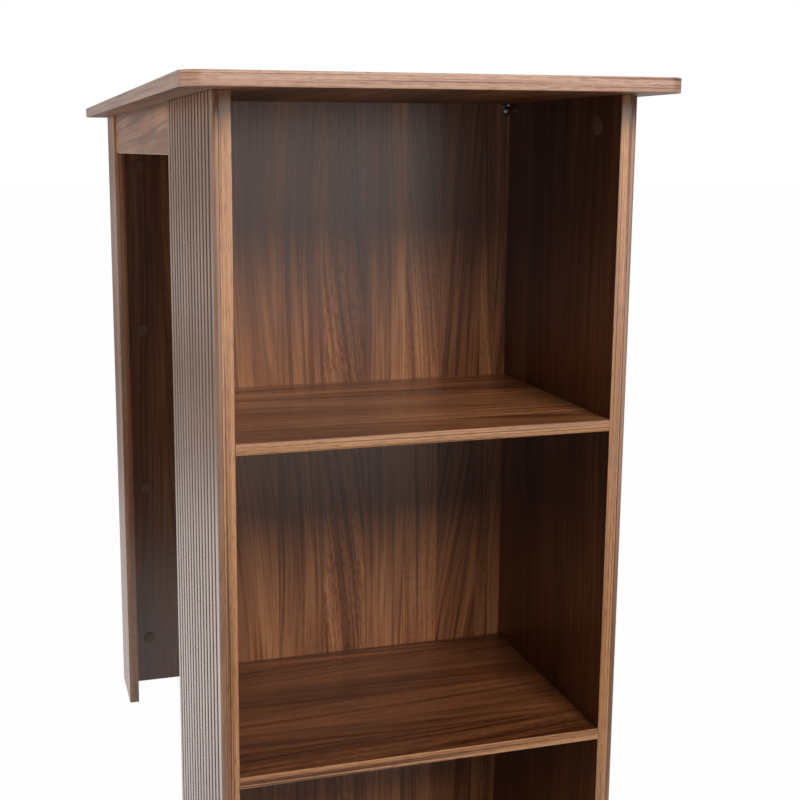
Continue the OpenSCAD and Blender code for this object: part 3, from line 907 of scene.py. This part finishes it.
# %% Floor glides
GLIDE_R, GLIDE_H, PIN_R, FOOT_EASE = 0.006, 0.003, 0.0012, 0.0010
glides = [extent(points) for points in solids("floor_glides")]
fresh()
bpy.ops.mesh.primitive_cylinder_add(
    vertices=40, radius=GLIDE_R, depth=GLIDE_H, location=(0, 0, GLIDE_H / 2)
)
glide = bpy.context.object
bpy.ops.object.transform_apply(location=True, rotation=True, scale=True)
bpy.ops.object.mode_set(mode="EDIT")
pick(lambda p: p.z < NEAR)
bpy.ops.mesh.bevel(offset=FOOT_EASE, segments=4, affect="EDGES")
pick(lambda p: p.z > GLIDE_H - NEAR)
bpy.ops.mesh.select_mode(type="FACE")
bpy.ops.mesh.inset(thickness=GLIDE_R - PIN_R)
pin = glides[0][1].z - GLIDE_H
bpy.ops.mesh.extrude_region_move(TRANSFORM_OT_translate={"value": (0, 0, pin)})
fresh()
places = []
for low, high in glides:
    places.append((((low.x + high.x) / 2, (low.y + high.y) / 2, low.z), (0, 0, 0)))
copies(glide, places, "shaped_floor_glides", "floor_glides", "brown_plastic", brown_cap)
print("glides modelled:", len(places))

# %% [markdown]
# ## Floor
#
# A white floor runs to a white surround, and both look white to the camera, while the
# floor keeps the object's soft shadow. At grazing angles the satin film mirrors the floor,
# which greys its own colour. In gloss the floor glows with a painted reflection that lights
# nothing: a ramp along Y, dim where the viewer stands and brightest beside the object.

# %% Floor
FLOOR_SIZE = 60
FLOOR_FROM, FLOOR_TO = -3.0, 9.0  # the stretch, along Y, that the ramp is given for
FLOOR_SHOWN = 0.985  # share of plain white in what the eye sees, the rest is shadow


def paths(tree):
    """Factors: 1 for what the eye sees directly or through glass, and 1 in gloss."""
    path = add(tree, "ShaderNodeLightPath")
    seen = {0: path["Is Camera Ray"], 1: path["Is Transmission Ray"]}
    return add(tree, "ShaderNodeMath", seen, operation="MAXIMUM")[0], path["Is Glossy Ray"]


fresh()
bpy.ops.mesh.primitive_plane_add(size=FLOOR_SIZE, location=(0, 0, 0))
floor = bpy.context.object
floor.name = "floor"
paint, tree, shader = new_material("white floor paint")
shader.inputs["Base Color"].default_value = linear("#a8a8a6")
shader.inputs["Roughness"].default_value = 0.9
eye, gloss = paths(tree)
place = add(tree, "ShaderNodeTexCoord")["Object"]
depth = add(tree, "ShaderNodeSeparateXYZ", {0: place})["Y"]
part = add(
    tree, "ShaderNodeMapRange", {"Value": depth, "From Min": FLOOR_FROM, "From Max": FLOOR_TO}
)[0]
# painted reflection: what the floor shows in gloss, a glowing ramp along Y
gloss_reflection_ramp = add(
    tree, "ShaderNodeValToRGB", {0: part},
    (
        (0.02, "#f3f3f3"), (0.07, "#9a9a9a"), (0.14, "#505050"), (0.22, "#d8d8d8"),
        (0.28, "#ffffff"), (0.36, "#f0f0f0"), (0.44, "#b4b4b4"), (0.58, "#8c8c8c"),
        (1.00, "#bcbcbc"),
    ),
)[0]
level = add(
    tree, "ShaderNodeMix", {0: gloss, 6: (1, 1, 1, 1), 7: gloss_reflection_ramp}, data_type="RGBA"
)[2]
glow = add(tree, "ShaderNodeEmission", {"Color": level, "Strength": 1.0})[0]
shown = add(tree, "ShaderNodeMath", {0: eye, 1: FLOOR_SHOWN}, operation="MULTIPLY")[0]
amount = add(tree, "ShaderNodeMath", {0: shown, 1: gloss}, operation="MAXIMUM")[0]
mixed = add(tree, "ShaderNodeMixShader", {0: amount, 1: shader.outputs[0], 2: glow})[0]
tree.links.new(mixed, tree.nodes["Material Output"].inputs["Surface"])
paint.cycles.emission_sampling = "NONE"  # the glow is for the eye and lights nothing
cover(floor, paint)
print("floor of", tuple(floor.dimensions), "m")

# %% [markdown]
# ## Surround
#
# The world gives a little light from everywhere and is white to the eye. In gloss it shows a
# painted reflection of a room, which gives no other light: dim walls, a little brighter at
# the back, and a bright window far in front with a blurred edge.

# %% Surround
SURROUND = 0.05  # light from everywhere, next to white
# painted reflection, seen only in gloss: the window and the walls below
WINDOW = (0.35, -0.93, 0.0)  # the way towards the window
WINDOW_FROM, WINDOW_TO = 0.72, 0.94  # cosines at its blurred outer and inner edge
WINDOW_LEVEL, FRONT_WALL, BACK_WALL = 1.95, 0.12, 0.32  # brightness in gloss
WALL_BLEND = 0.3  # how gradually one wall turns into the other
world = bpy.data.worlds.new("studio")
bpy.context.scene.world = world
world.use_nodes = True
tree = world.node_tree
tree.nodes.clear()
eye, gloss = paths(tree)
place = add(tree, "ShaderNodeTexCoord")["Object"]
depth = add(tree, "ShaderNodeSeparateXYZ", {0: place})["Y"]
ahead = add(tree, "ShaderNodeVectorMath", {0: place, 1: WINDOW}, operation="DOT_PRODUCT")
window = add(
    tree, "ShaderNodeMapRange",
    {
        "Value": ahead["Value"], "From Min": WINDOW_FROM, "From Max": WINDOW_TO,
        "To Min": 0.0, "To Max": WINDOW_LEVEL,
    },
)[0]
wall = add(
    tree, "ShaderNodeMapRange",
    {
        "Value": depth, "From Min": -WALL_BLEND, "From Max": WALL_BLEND,
        "To Min": FRONT_WALL, "To Max": BACK_WALL,
    },
)[0]
walls = add(tree, "ShaderNodeMath", {0: window, 1: wall}, operation="MAXIMUM")[0]
level = add(tree, "ShaderNodeMix", {0: gloss, 2: SURROUND, 3: walls}, data_type="FLOAT")[0]
level = add(tree, "ShaderNodeMath", {0: level, 1: eye}, operation="MAXIMUM")[0]
studio = add(tree, "ShaderNodeBackground", {"Color": (1, 1, 1, 1), "Strength": level})[0]
add(tree, "ShaderNodeOutputWorld", {"Surface": studio})
print("light from everywhere:", SURROUND)

# %% [markdown]
# ## Lamps
#
# The light that falls on the object is kept at a plain level. A large softbox high in
# front leaves the heads of the compartments in shade, a lamp at the left serves the ribbed
# side, and one behind serves the leg's far side. The lamps stay out of gloss, so that no
# hard white patch shows on the top.


# %% Lamps
def softbox(name, place, aim, width, height, power):
    """A rectangular softbox at place that faces aim, in metres and watts."""
    fresh()
    turn = (Vector(aim) - Vector(place)).to_track_quat("-Z", "Y").to_euler()
    bpy.ops.object.light_add(type="AREA", location=place, rotation=turn)
    made = bpy.context.object
    made.name = name
    made.data.shape = "RECTANGLE"
    made.data.size, made.data.size_y = width, height
    made.data.energy = power
    made.visible_glossy = False  # in gloss the walls and the window take its place
    return made


softbox("key", (0.65, -4.10, 3.60), (0, -0.45, 0.8), 2.0, 1.8, 240)
softbox("left", (-3.0, -0.05, 1.2), (-0.2, -0.2, 0.6), 1.0, 1.6, 60)
softbox("behind", (1.2, 4.2, 2.4), (0, 0.5, 0.7), 1.6, 1.6, 60)
bpy.context.scene.view_settings.view_transform = "Standard"
